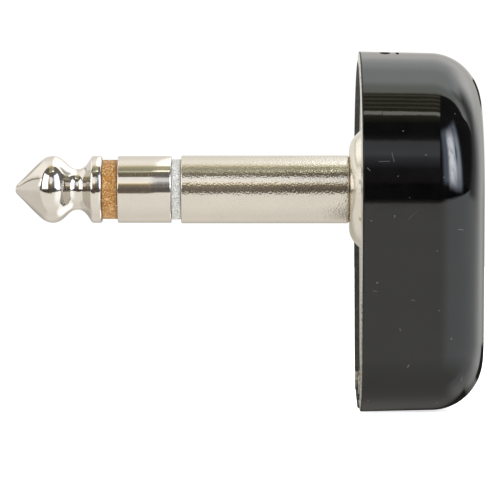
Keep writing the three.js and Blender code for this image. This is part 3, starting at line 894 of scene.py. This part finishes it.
# ------------------------------------------------------------ cable clamp
# a U-shaped strip; its section is in (y, s[, corner radius])
CLAMP_Y, CLAMP_S, CLAMP_T, CLAMP_HALF = 3.1, GROUND_LUG[0], 0.5, 1.5
inner_y = CLAMP_Y - CLAMP_T
section = rounded([
    (-CLAMP_Y + 0.18, 7.05, 0.2), (-CLAMP_Y, 6.9, 0.05), (-CLAMP_Y, CLAMP_S, 0.62),
    (CLAMP_Y, CLAMP_S, 0.62), (CLAMP_Y, 6.9, 0.05), (CLAMP_Y - 0.18, 7.05, 0.2),
], 8) + rounded([
    (inner_y, 6.95), (inner_y, CLAMP_S + CLAMP_T, 0.22), (-inner_y, CLAMP_S + CLAMP_T, 0.22),
    (-inner_y, 6.95),
], 8)
clamp = extrude("cable_clamp_strip", *[
    [P(s, y, z) for y, s in section] for z in (RIVET_Z - CLAMP_HALF, RIVET_Z + CLAMP_HALF)
])
# cutters that round the ends of the two ears, in (s, z)
ear = [(6.0, RIVET_Z - 1.8), (7.4, RIVET_Z - 1.8), (7.4, RIVET_Z + 1.8), (6.0, RIVET_Z + 1.8)]
for k in range(25):
    a = math.pi / 2 - math.pi * k / 24
    ear.append((6.0 + 1.05 * math.cos(a), RIVET_Z + CLAMP_HALF * math.sin(a)))
ears = [
    extrude("cutter", *[
        [P(s, side * y, z) for s, z in ear] for y in (CLAMP_Y + 0.2, CLAMP_Y - 0.7)
    ])
    for side, _ in SIDES
]
clamp = cut(clamp, *ears, *[
    rod(1, 4, RIVET_HOLE, side * RIVET_Y, RIVET_Z, 36) for side, _ in SIDES
])
finish(bevel(clamp, 0.06), "tinned", "cable_clamp")

for side, label in SIDES:
    rivet = lathe("clamp_rivet_" + label + "_head", [
        (1.245, 0), (1.245, 0.5), (2.8, 0.5), (2.8, 0.85, 0.05), (2.95, 0.82, 0.1),
        (3.12, 0.6, 0.2), (3.2, 0.2, 0.2), (3.2, 0),
    ], 48, (side * RIVET_Y, RIVET_Z), sharp=50)
    finish(rivet, "brass", "clamp_rivet_" + label)

# ---------------------------------------------------------- cover screws
THREAD_START, THREAD_END, PITCH = 1.12, 4.3, 0.25
MAJOR_R, MINOR_R = 0.6, 0.47


def thread(s, angle):
    """Radius of a right-hand thread, run in and out at its ends."""
    phase = (s / PITCH - angle / TAU) % 1.0
    ridge = 1 - abs(2 * phase - 1)
    crest = min(1.0, max(0.0, (ridge - 0.12) / 0.76))
    run_in = max(0.0, (s - THREAD_START) / PITCH)
    run_out = max(0.0, (THREAD_END - s) / PITCH)
    return MINOR_R + (MAJOR_R - MINOR_R) * crest * min(1.0, run_in, run_out)


def screw(name, y, z):
    rows = rounded([(0.66, 0), (0.66, 0.74, 0.06), (0.74, 0.9, 0.06), (1.05, 0.9, 0.03),
                    (1.05, 0.56)], 3)
    length = THREAD_END - THREAD_START
    steps = int(length / PITCH * 8)
    for k in range(steps + 1):
        s = THREAD_START + length * k / steps
        rows.append((s, lambda angle, s=s: thread(s, angle)))
    rows += [(4.4, 0.46), (4.58, 0.34), (4.6, 0.3), (4.6, 0)]
    ob = turned(name, rows, seg=40, at=(y, z))
    return cut(ob, brick(0.3, 0.88, y - 0.12, y + 0.12, z - 2, z + 2))


for side, label in SIDES:
    y = side * SCREW_Y
    finish(screw("cover_screw_" + label + "_slotted", y, SCREW_Z),
           "steel", "cover_screw_" + label, "screw_" + label)
    # split spring washer, closed up flat under the head
    washer = lathe("screw_washer_" + label + "_spring", [
        (1.075, 0.65), (1.075, 1.02, 0.03), (1.22, 1.02, 0.03), (1.22, 0.65),
    ], 64, (y, SCREW_Z), steps=3)
    washer = cut(washer, brick(0.9, 1.4, y + 0.3, y + 1.5, SCREW_Z - 0.05, SCREW_Z + 0.05))
    finish(washer, "steel", "screw_washer_" + label, "washer_" + label)

# ------------------------------------------------------------ cover shell
DRAFT = math.radians(1.2)
BACK_CORNER_R = 4.75
RIM_S = 1.04  # where the outside wall ends
SEAT_S = 2.27  # the ledge inside, and the ends of the bosses
FLOOR_S, FLOOR_R = 10.79, 3.0  # the inside's floor and its corner radius
OUTSIDE_ROWS = 35  # profile points on the outside wall
NOTCH_R, NOTCH_S = 3.0, 4.6


def cover_profile():
    """(s, inset) from the middle of the back, over the rim and down the inside."""
    r = BACK_CORNER_R
    centre_s = BACK - r
    centre_d = (r + (centre_s - RIM_S) * math.sin(DRAFT)) / math.cos(DRAFT)
    pts = []
    for k in range(27):
        a = math.radians(90) * k / 26
        a = a * (math.pi / 2 - DRAFT) / (math.pi / 2)
        pts.append((centre_s + r * math.cos(a), centre_d - r * math.sin(a)))
    wall_s = pts[-1][0]
    for k in range(1, 7):
        s = wall_s + (RIM_S - wall_s) * k / 7
        pts.append((s, (s - RIM_S) * math.tan(DRAFT)))
    # the rim falls away from its inner edge to a small dull chamfer
    lip = (0.765, 0.93)
    pts += rounded([(RIM_S, 0.0), (0.975, 0.0, 0.03), (0.875, 0.03, 0.02), lip], 4)
    pts += rounded([lip, (0.76, 1.0, 0.04), (SEAT_S, 1.0, 0.03), (SEAT_S, 1.5, 0.05),
                    (7.0, 1.6)], 4)[1:]
    start = FLOOR_S - FLOOR_R
    base = 1.5 + (start - SEAT_S) * math.tan(DRAFT)
    for k in range(13):
        a = math.pi / 2 * k / 12
        pts.append((start + FLOOR_R * math.sin(a), base + FLOOR_R - FLOOR_R * math.cos(a)))
    return pts


def capped(rows):
    return [tuple(rows[0]), tuple(reversed(rows[-1]))] + bridge(rows)


profile = cover_profile()
verts, rings = [], []
for s, d in profile:
    ring_points = plan(d)
    rings.append(list(range(len(verts), len(verts) + len(ring_points))))
    verts += [P(s, y, z) for y, z in ring_points]
cover = make("cover_shell_cup", verts, capped(rings), sharp=30)
# screw bosses, trimmed to the outside of the cup
for side, _ in SIDES:
    boss = lathe("boss", [
        (SEAT_S, 0), (SEAT_S, 1.75, 0.05), (10.2, 1.82, 0.3), (10.9, 2.5), (11.2, 2.5), (11.2, 0),
    ], 64, (side * SCREW_Y, SCREW_Z))
    keep = make("keep", verts, capped(rings[:OUTSIDE_ROWS]))
    boss = combine(boss, [keep], "INTERSECT")
    cover = combine(cover, [boss], "UNION", sharp=30)
screw_hole = [(1.5, 0), (1.5, 0.85), (SEAT_S, 0.85), (2.45, 0.65), (6.2, 0.65), (6.5, 0)]
cover = cut(cover, *[
    lathe("cutter", screw_hole, 40, (side * SCREW_Y, SCREW_Z)) for side, _ in SIDES
], sharp=30)
# cable notch in (s, y): straight-sided from the rim, round at its end
notch = [(-1.0, -NOTCH_R), (NOTCH_S, -NOTCH_R)]
for k in range(1, 36):
    a = math.pi * k / 36
    notch.append((NOTCH_S + NOTCH_R * math.sin(a), -NOTCH_R * math.cos(a)))
notch += [(NOTCH_S, NOTCH_R), (-1.0, NOTCH_R)]
notch_cutter = extrude("cutter", *[[P(s, y, z) for s, y in notch] for z in (-24.0, -18.6)])
cover = cut(cover, notch_cutter, sharp=30)
finish(cover, "gloss", "cover_shell", "cover")


def inset(y, z):
    """How far a point lies inside the cover's plan."""
    y = abs(y)
    flat = Vector((math.cos(TILT), -math.sin(TILT)))
    if math.atan2(z, y) >= -TILT:
        return TOP_R - math.hypot(y, z)
    if y > COR_Y and (y - COR_Y) * flat.y - (z - COR_Z) * flat.x > 0:
        return COR_R - math.hypot(y - COR_Y, z - COR_Z)
    if y <= COR_Y and z < COR_Z:
        return z - FOOT_Z
    return TOP_R - (y * flat.x + z * flat.y)


def skin(s):
    """Inset of the outside surface at s."""
    outside = profile[:OUTSIDE_ROWS]
    for (s1, d1), (s0, d0) in zip(outside, outside[1:]):
        if s0 <= s <= s1 and s1 > s0:
            return d0 + (d1 - d0) * (s - s0) / (s1 - s0)
    return 0.0


DRY, LAND, EDGE = 1, 2, 3  # the cover's further material slots
for name in ("dry", "land", "edge"):
    cover.data.materials.append(MATERIALS[name])
for face in cover.data.polygons:
    s = face.center.x / MM + BACK
    d = inset(face.center.y / MM, face.center.z / MM)
    if s > 1.0:
        if d > skin(s) + 0.35 and s <= BACK - 0.1:
            face.material_index = DRY
    elif d > 0.94:
        face.material_index = DRY
    elif s < 0.872 and d > 0.02:
        face.material_index = LAND
    elif s < 0.985:
        face.material_index = EDGE

liner = prism("cover_liner_card", plan(4.8, top=80, cor=24, side=6, foot=4), 10.2, 10.5)
finish(bevel(liner, 0.05, angle=40), "card", "cover_liner", "cover")


# --------------------------------------------------------------- the stage
def sheet(name, x0, x1, y0, y1, z, material):
    """A level rectangle, in metres."""
    mesh = bpy.data.meshes.new(name)
    corners = [(x0, y0, z), (x1, y0, z), (x1, y1, z), (x0, y1, z)]
    mesh.from_pydata(corners, [], [(0, 1, 2, 3)])
    ob = add_object(name, mesh)
    mesh.materials.append(material)
    return ob


def pale_floor():
    net = new_net("pale_floor")
    diffuse = net.value("ShaderNodeBsdfDiffuse", {"Color": (0.8, 0.8, 0.8, 1.0)})
    glow = net.emission((1.0, 1.0, 1.0), strength=0.75)
    return net.show(net.value("ShaderNodeAddShader", {0: diffuse, 1: glow}))


def contact_shade():
    """Darkest under the cover's foot, with a wide soft fringe."""
    net = new_net("contact_shade")
    x, y, z = net.split(net.mm())
    dx = ((-11.4 - x) * 4.0).max(x).max(0.0)
    dy = (abs(y) - 5.0).max(0.0)
    away = net.hypot(dx, dy)
    wide = away.ease(13.0, 0.0, kind="LINEAR") * 0.45
    close = net.math("EXPONENT", away * -1.0) * 0.53
    clear = net.value("ShaderNodeBsdfTransparent")
    dark = net.emission((0.03, 0.028, 0.025), strength=1.0)
    return net.show(net.mix_shader(wide + close, clear, dark))


floor = sheet("floor", -3.0, 3.0, -3.0, 3.0, (FOOT_Z - 0.02) * MM, pale_floor())
floor.visible_glossy = False
# the cover's own contact shadow on the floor, which only reflections can see
shade_z = (FOOT_Z - 0.015) * MM
shade = sheet("contact_shade", -0.032, 0.02, -0.02, 0.02, shade_z, contact_shade())
shade.visible_camera = False
shade.visible_diffuse = False
shade.visible_shadow = False
shade.visible_transmission = False

# --------------------------------------------------- studio light, by bearing
world = bpy.data.worlds.new("studio")
bpy.context.scene.world = world
net = Net(world, "ShaderNodeOutputWorld")
vx, vy, vz = net.split(net.value("ShaderNodeTexCoord", out="Generated"))
DEG = 180 / math.pi
# In degrees: pitch goes round X from the camera side (-Y) up over the top; az is the
# bearing from -Y towards +X; el is the height; xa the angle off the YZ plane.
pitch = net.math("ARCTAN2", vz, vy * -1.0) * DEG
az = net.math("ARCTAN2", vx, vy * -1.0) * DEG
el = net.math("ARCSINE", vz) * DEG
xa = net.math("ARCSINE", vx) * DEG
pe = pitch - xa.max(0.0).min(2.8)  # pitch, with the bands leaning a little on the right


def ramp(stops):
    """Colours by (pe, colour)."""
    factor = pe.ease(-180.0, 180.0, kind="LINEAR")
    node = net.node("ShaderNodeValToRGB", {0: factor})
    points = node.color_ramp.elements
    for point, end, stop in ((points[0], 0.0, stops[0]), (points[1], 1.0, stops[-1])):
        point.position = end
        point.color = stop[1] + (1.0,)
    for angle, color in stops[1:-1]:
        points.new((angle + 180) / 360).color = color + (1.0,)
    return net.outs(node, 0)[0]


# bands seen from the front: table, camera side, strip light, slats, backdrop
TABLE = (1.14, 1.12, 1.04)
DARK = (0.012, 0.01, 0.01)
FLOOR = [
    (-180, (0.5, 0.48, 0.43)), (-160, (0.66, 0.63, 0.57)), (-146, (0.86, 0.82, 0.75)),
    (-128, (1.06, 1.02, 0.94)), (-105, (1.03, 0.99, 0.92)), (-60, (1.15, 1.13, 1.05)),
]
# left of the camera's axis, where the plug looks
bands_left = ramp(FLOOR + [
    (-17.0, TABLE), (-13.0, (0.1, 0.07, 0.045)), (-1.0, (0.05, 0.032, 0.02)),
    (9.0, (0.16, 0.12, 0.08)), (14.5, (0.24, 0.18, 0.1)), (18.0, (0.8, 0.64, 0.27)),
    (21.5, (1.5, 1.46, 1.32)), (33.0, (1.28, 1.28, 1.24)), (40.6, (1.28, 1.29, 1.3)),
    (43.6, (0.07, 0.05, 0.025)), (57.0, (0.09, 0.07, 0.025)), (60.5, (0.4, 0.37, 0.22)),
    (63.5, (0.85, 0.84, 0.68)), (67.0, (0.2, 0.19, 0.1)), (80.0, (0.33, 0.32, 0.2)),
    (85.5, (0.7, 0.62, 0.38)), (91.0, (1.1, 1.05, 0.85)), (96.0, (1.27, 1.22, 1.12)),
    (109.0, (1.28, 1.25, 1.18)), (122.0, (1.12, 1.09, 1.02)), (138.0, (1.08, 1.05, 0.99)),
    (162.0, (1.12, 1.1, 1.06)), (180.0, (0.95, 0.93, 0.9)),
])
# right of it, where the cover looks
bands_right = ramp(FLOOR[:1] + FLOOR[2:] + [
    (-15.4, TABLE), (-14.7, (0.58, 0.53, 0.48)), (-13.6, (0.14, 0.11, 0.1)),
    (-11.6, (0.03, 0.025, 0.024)), (0.0, DARK), (3.0, (0.115, 0.09, 0.085)),
    (13.5, (0.125, 0.125, 0.14)), (17.5, (0.34, 0.34, 0.36)), (22.0, (0.55, 0.57, 0.6)),
    (25.5, (0.98, 1.0, 1.03)), (36.2, (0.84, 0.85, 0.89)), (38.3, (0.16, 0.15, 0.15)),
    (43.0, (0.05, 0.05, 0.05)), (53.0, (0.045, 0.045, 0.042)), (59.0, (0.3, 0.28, 0.18)),
    (83.2, (0.34, 0.32, 0.17)), (84.8, (1.9, 1.95, 1.75)), (92.0, (1.85, 1.95, 1.78)),
    (98.0, (2.4, 2.55, 2.45)), (104.0, (2.2, 2.3, 2.25)), (112.0, (1.8, 1.87, 1.86)),
    (128.0, (1.68, 1.73, 1.71)), (135.0, (2.0, 2.01, 1.98)), (141.0, (2.75, 2.74, 2.7)),
    (148.0, (3.5, 3.42, 3.32)), (156.0, (3.1, 3.0, 2.85)), (180.0, (1.0, 0.97, 0.92)),
])
bands = net.mix(xa.ease(1.55, 1.7), bands_left, bands_right)

# slats of light high in front, one every 4.3 degrees, and a hot one below them
wave = net.math("SINE", (pe - 76.1) * (TAU / 4.3))
uneven = net.noise(net.xyz(pe * 0.21, 0.0, 0.0), scale=1.0, detail=2.0, rough=0.7)
slat = wave.ease(-0.2, 0.95) * uneven.ease(0.3, 0.62, 0.5, 1.0)
slat = slat * pe.between(66.0, 68.0, 81.5, 83.0)
hot_slat = pe.between(60.2, 61.9, 63.9, 64.9)
bands = net.mix(slat * xa.ease(1.0, 1.6, 0.4, 1.0), bands, (0.85, 0.82, 0.62))
bands = net.mix(hot_slat * xa.ease(1.5, 1.7), bands, (3.0, 3.02, 2.6))

# the strip and the slats are panels no wider than the camera's own stand
panel = xa.between(-19.0, -16.0, 11.5, 14.5)
stand = net.mix(pe.ease(2.0, 5.0), DARK, (0.08, 0.075, 0.075))
dim = net.mix(pe.ease(-16.0, -13.0), TABLE, stand)
# the backdrop's lower edge bends away to the right
over = (vx - 0.75).max(0.0)
bent = pe - vx * vx * vx.ease(0.0, 0.2, 0.0, 16.0) - over * over * 1300.0
dim = net.mix(bent.ease(83.0, 86.5), dim, (1.9, 1.93, 1.8))
high = bent.ease(82.5, 84.5)
low = pe.ease(-13.0, -15.0)
sky = net.mix(panel.max(high.max(low)), dim, bands)
# to the right the table is brighter
table_right = az.between(12.0, 40.0, 105.0, 130.0) * pe.ease(-11.0, -15.0)
sky = net.mix(table_right * el.ease(-60.0, -25.0), sky, (1.6, 1.63, 1.65))

# the camera side ends in a vertical edge on either hand; beyond it the room is pale
edge = vy - vx.max(0.0) * 0.56 - vx.min(0.0) * 0.13
right = vx.ease(-0.05, 0.15)
near_top = el.ease(70.0, 52.0)
azs = az - el.ease(0.0, 26.0, 0.0, 19.0, "LINEAR")  # bearing, leaning with height
behind = net.mix(right, edge.ease(-0.012, 0.012), azs.ease(78.0, 94.0) * near_top)
room = net.mix(el.ease(-9.0, 4.0), (0.88, 0.85, 0.78), (1.05, 1.03, 0.97))
room = net.mix(el.ease(24.0, 30.0), room, (1.38, 1.36, 1.3))
room = net.mix(el.ease(35.0, 75.0), room, (1.5, 1.48, 1.42))
room = net.mix(el.ease(-30.0, -70.0), room, (0.86, 0.82, 0.73))
# on the right it brightens steadily towards a window high behind
far_right = net.mix(azs.ease(84.0, 100.0, kind="LINEAR"), (0.2, 0.2, 0.195), (0.65, 0.65, 0.64))
far_right = net.mix(azs.ease(100.0, 122.0, kind="LINEAR"), far_right, (2.1, 2.1, 2.06))
far_right = net.mix(azs.ease(122.0, 136.0), far_right, (2.55, 2.55, 2.5))
lift = el.ease(8.0, 32.0, 0.0, 0.6)
far_right = net.mix(lift * azs.ease(96.0, 113.0), far_right, (3.0, 3.0, 2.93))
window = azs.ease(108.0, 120.0) * el.between(14.0, 30.0, 36.0, 46.0)
far_right = net.mix(window, far_right, (3.05, 3.05, 2.98))
above = el.ease(40.0, 52.0) * azs.ease(84.0, 100.0)
far_right = net.mix(above, far_right, (2.4, 2.44, 2.4))
below = net.mix(az.ease(98.0, 122.0), (1.6, 1.63, 1.61), (2.05, 2.07, 2.02))
far_right = net.mix(el.ease(-1.5, -5.5), far_right, below)
room = net.mix(right, room, far_right)
back = net.mix(abs(vx).ease(0.25, 0.6), bands, room)
straight = net.mix(el.ease(-3.0, 3.0), (0.42, 0.4, 0.36), (0.88, 0.86, 0.81))
back = net.mix(vy.ease(0.55, 0.98), back, straight)
side_on = behind * (1.0 - low * abs(vx).ease(0.5, 0.2))
sky = net.mix(side_on, sky, back)


def box(az0, az1, el0, el1, soft, soft_el=None):
    """A soft-edged rectangle of bearing and height."""
    soft_el = soft if soft_el is None else soft_el
    across = az.between(az0 - soft, az0 + soft, az1 - soft, az1 + soft)
    return across * el.between(el0 - soft_el, el0 + soft_el, el1 - soft_el, el1 + soft_el)


# two lights and a dark bar on the left
sky = net.mix(box(-71.0, -27.0, 1.0, 46.0, soft=2.5), sky, (2.3, 2.28, 2.22))
sky = net.mix(box(-86.5, -81.0, 8.0, 24.0, soft=1.5), sky, (2.8, 2.8, 2.7))
sky = net.mix(box(-156.0, -93.0, 21.5, 24.5, soft=1.0), sky, (0.3, 0.28, 0.2))
# the key light on the right: a cool surround with a sloping foot, a brighter flank,
# a cloudy core and a blue patch
foot_mask = (el - az.ease(52.0, 28.0) * 5.0).ease(-4.0, 2.5)
surround = box(22.0, 66.0, -20.0, 47.0, soft=5.0, soft_el=4.0) * foot_mask
sky = net.mix(surround, sky, (1.5, 1.75, 2.2))
core = box(35.5, 51.0, 5.0, 41.0, soft=4.5, soft_el=8.0)
cloud = net.noise(net.xyz(az * 0.16, el * 0.12, 0.0), scale=1.0, rough=0.6)
core = core * cloud.ease(0.3, 0.6, 0.55, 1.0)
sky = net.mix(box(49.0, 63.5, 4.0, 37.0, soft=4.0, soft_el=9.0), sky, (4.6, 4.9, 5.5))
sky = net.mix(core, sky, (13.5, 13.9, 14.8))
sky = net.mix(box(52.5, 57.0, 19.0, 31.0, soft=1.8, soft_el=5.0), sky, (1.0, 1.5, 2.4))
# a small dark thing stands behind, low on the right, and one high on the right
turn = net.math("DEGREES", net.math("ARCTAN2", vz, vx))
off = net.hypot(vx, vz)
low_thing = turn.between(-31.0, -26.0, -7.5, -4.5) * off.ease(0.66, 0.58)
high_thing = turn.between(17.0, 20.0, 33.0, 36.0) * (off.ease(0.4, 0.32) * off.ease(0.04, 0.08))
thing = low_thing.max(high_thing) * vy.ease(0.4, 0.6)
sky = net.mix(thing, sky, (0.03, 0.028, 0.024))
lit = net.value("ShaderNodeBackground", {"Color": sky, "Strength": 1.0})
white = net.value("ShaderNodeBackground", {"Color": (1.0, 1.0, 1.0, 1.0), "Strength": 1.05})
seen = net.value("ShaderNodeLightPath", out="Is Camera Ray")
net.show(net.mix_shader(seen, lit, white))

# a large soft light overhead lifts the diffuse pieces
light = bpy.data.lights.new("overhead", "AREA")
light.shape = "RECTANGLE"
light.size = 0.5
light.size_y = 0.5
light.energy = 0.9
lamp = add_object("overhead", light)
lamp.location = (-0.05, -0.12, 0.45)
lamp.rotation_euler = Vector((0.03, 0.12, -0.45)).to_track_quat("-Z", "Y").to_euler()
lamp.visible_glossy = False

# -------------------------------------------------------------- the camera
lens = bpy.data.cameras.new("camera")
lens.sensor_fit = "HORIZONTAL"
lens.sensor_width = 36.0
lens.lens = 269.136
lens.clip_start = 0.01
lens.clip_end = 20.0
camera = add_object("camera", lens)
camera.location = P(-9.3, -350.0, -5.72)
camera.rotation_euler = (math.pi / 2, 0, 0)
scene = bpy.context.scene
scene.camera = camera
scene.view_settings.view_transform = "Standard"
scene.view_settings.look = "None"
